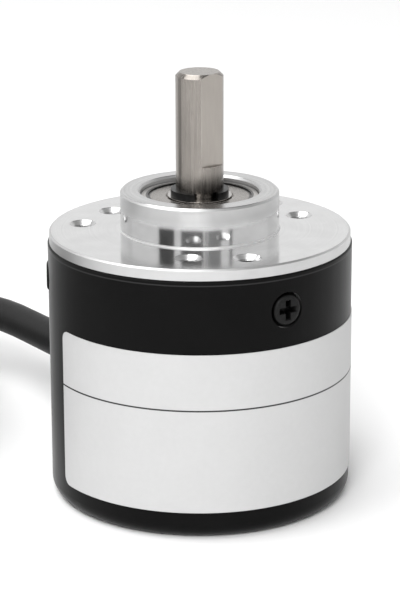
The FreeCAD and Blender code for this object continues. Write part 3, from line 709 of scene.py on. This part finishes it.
# The end face is painted lighter: a painted highlight on the turned end.
end_face_highlight = up.between(shaft_end_z - 2 * seam, shaft_end_z - seam)
tone = streaks * 0.35 + blotches * 0.2 + end_face_highlight * 0.18 + 0.19 - dark_reflection_line * 0.25 - shadow * 0.36
# The flat is painted lighter than the round: its mill marks and roughness are real, the rest of its lightness
# a painted highlight.
tone = tone * (1 - milled) + milled * (mill_marks * 0.15 + 0.76)
feed(stainless_shader, {
    "Base Color": tone.colour(shade(0.05, 0.1), shade(0.435, 0.08)),
    "Roughness": streaks * 0.2 + milled * 0.08 + 0.16,
    "Normal": streaks.bump(0.01 * MM),
})
coat(stainless, nodes["shaft"])

# Snap rings: open rings of blackened spring steel, sprung into the shaft's grooves.
# They hold the two bearings on the shaft.
blackened, blackened_shader, blackened_place = finish("black_spring_steel", {"Metallic": 0.7})
oil = blackened_place.noise(0.6 * MM, 3.0)
feed(blackened_shader, {
    "Base Color": oil.colour(shade(0.01), shade(0.025)),
    "Roughness": oil * 0.2 + 0.28,
    "Normal": oil.bump(0.006 * MM),
})
coat(blackened, nodes["front_snap_ring"], nodes["rear_snap_ring"])

# Disc hub: a turned brass bush with a flange that carries the code disc.
# Two black grub screws clamp it on the shaft, and like screws hold the board and the emitter's holder.
turned_brass, turned_brass_shader, turned_brass_place = finish("hub_brass", {"Metallic": 1.0})
lathe_marks = turned_brass_place.stretched(0.05, 0.05, 1).noise(0.2 * MM, 2.0)
feed(turned_brass_shader, {
    "Base Color": turned_brass_place.noise(2 * MM).colour((0.62, 0.45, 0.17, 1), (0.75, 0.56, 0.24, 1)),
    "Roughness": lathe_marks * 0.15 + 0.18,
    "Normal": lathe_marks.bump(0.004 * MM),
})
coat(turned_brass, nodes["disc_hub"])
coat(blackened, nodes["hub_grub_screws"], nodes["board_screws"], nodes["holder_screws"])

# Code disc and mask: thin stainless sheet with etched slots.
# The disc is fixed on the hub and turns with it, and the mask is cemented on the light sensor.
etched, etched_shader, etched_place = finish("disc_steel", {"Metallic": 1.0})
etch = etched_place.noise(0.4 * MM, 4.0)
feed(etched_shader, {
    "Base Color": etch.colour(shade(0.22), shade(0.3)),
    "Roughness": etch * 0.15 + 0.35,
    "Normal": etch.bump(0.004 * MM),
})
coat(etched, nodes["code_disc"])

thin_sheet, thin_shader, thin_place = finish("mask_steel", {"Metallic": 1.0})
rolling = thin_place.stretched(0.1, 1, 1).noise(0.3 * MM, 3.0)
feed(thin_shader, {
    "Base Color": rolling.colour(shade(0.35), shade(0.45)),
    "Roughness": rolling * 0.15 + 0.25,
})
coat(thin_sheet, nodes["sensor_mask"])

# Circuit board: glass-fibre laminate under green solder mask, screwed to its three posts.
# Its copper tracks stand up a little under the mask.
track_pitch = 1.4 * MM
laminate, laminate_shader, laminate_place = finish("board_green", {
    "Specular IOR Level": 0.5, "Coat Weight": 0.3,
})
tracks = laminate_place.node("TexBrick", {"offset": 0.35}, {
    "Vector": laminate_place, "Scale": 1 / track_pitch, "Mortar Size": 0.08, "Mortar Smooth": 0.1,
    "Brick Width": 3.0, "Row Height": 0.8, "Color1": shade(0.0), "Color2": shade(0.0), "Mortar": shade(1.0),
}, "Fac")
glass_weave = laminate_place.noise(0.8 * MM, 2.0)
feed(laminate_shader, {
    "Base Color": tracks.colour((0.008, 0.085, 0.03, 1), (0.02, 0.17, 0.06, 1)),
    "Roughness": glass_weave * 0.1 + 0.28,
    "Normal": tracks.bump(0.02 * MM),
})
coat(laminate, nodes["circuit_board"])

# Posts and ferrule: nickel-plated brass. Three hexagonal posts are screwed into the flange for the board.
# The ferrule is crimped on the cable inside the can and takes its pull.
plating, plating_shader, plating_place = finish("nickel_plating", {"Metallic": 1.0})
plate_haze = plating_place.noise(0.9 * MM, 3.0)
feed(plating_shader, {
    "Base Color": plate_haze.colour(shade(0.55, 0.05), shade(0.66, 0.04)),
    "Roughness": plate_haze * 0.12 + 0.2,
    "Normal": plate_haze.bump(0.003 * MM),
})
coat(plating, nodes["board_posts"], nodes["cable_clamp"])

# Parts on the board: chips moulded in black epoxy, small ceramic parts, a capacitor in its aluminium can
# and a nylon socket for the cable's wires, all soldered to the board.
epoxy, epoxy_shader, epoxy_place = finish("chip_black", {"Specular IOR Level": 0.35})
grit = epoxy_place.noise(0.15 * MM, 2.0)
feed(epoxy_shader, {
    "Base Color": grit.colour(shade(0.012), shade(0.03)),
    "Roughness": grit * 0.15 + 0.6,
    "Normal": grit.bump(0.01 * MM),
})
coat(epoxy, nodes["signal_chip"], nodes["driver_chip"], nodes["light_sensor"])

ceramic, ceramic_shader, ceramic_place = finish("chip_ceramic", {"Specular IOR Level": 0.5})
fired = ceramic_place.noise(0.3 * MM, 3.0)
feed(ceramic_shader, {
    "Base Color": fired.colour((0.22, 0.15, 0.09, 1), (0.34, 0.25, 0.16, 1)),
    "Roughness": fired * 0.2 + 0.4,
})
coat(ceramic, nodes["chip_parts"])

sleeve, sleeve_shader, sleeve_place = finish("capacitor_can", {"Metallic": 1.0})
drawn_lines = sleeve_place.stretched(1, 1, 0.05).noise(0.3 * MM, 2.0)
feed(sleeve_shader, {
    "Base Color": drawn_lines.colour(shade(0.6), shade(0.72)),
    "Roughness": drawn_lines * 0.15 + 0.22,
})
coat(sleeve, nodes["capacitor"])

nylon, nylon_shader, nylon_place = finish("socket_white", {})
milky = nylon_place.noise(1.5 * MM, 2.0)
feed(nylon_shader, {
    "Base Color": milky.colour((0.66, 0.64, 0.56, 1), (0.76, 0.74, 0.68, 1)),
    "Roughness": milky * 0.1 + 0.4,
})
coat(nylon, nodes["wire_socket"])

# Emitter and its holder: a clear moulded light source in a black moulded holder, screwed to the flange.
# It shines through the disc's slots and the mask on the light sensor.
moulded, moulded_shader, moulded_place = finish("holder_black", {"Specular IOR Level": 0.35})
mould_grain = moulded_place.noise(0.3 * MM, 2.0)
feed(moulded_shader, {
    "Base Color": mould_grain.colour(shade(0.01), shade(0.02)),
    "Roughness": mould_grain * 0.15 + 0.5,
    "Normal": mould_grain.bump(0.01 * MM),
})
coat(moulded, nodes["emitter_holder"])

clear, clear_shader, clear_place = finish("emitter_clear", {"Transmission Weight": 0.85, "IOR": 1.53})
tint = clear_place.noise(1.0 * MM, 1.0)
feed(clear_shader, {
    "Base Color": tint.colour((0.72, 0.8, 0.92, 1), (0.86, 0.9, 0.96, 1)),
    "Roughness": tint * 0.05 + 0.05,
})
coat(clear, nodes["light_emitter"])
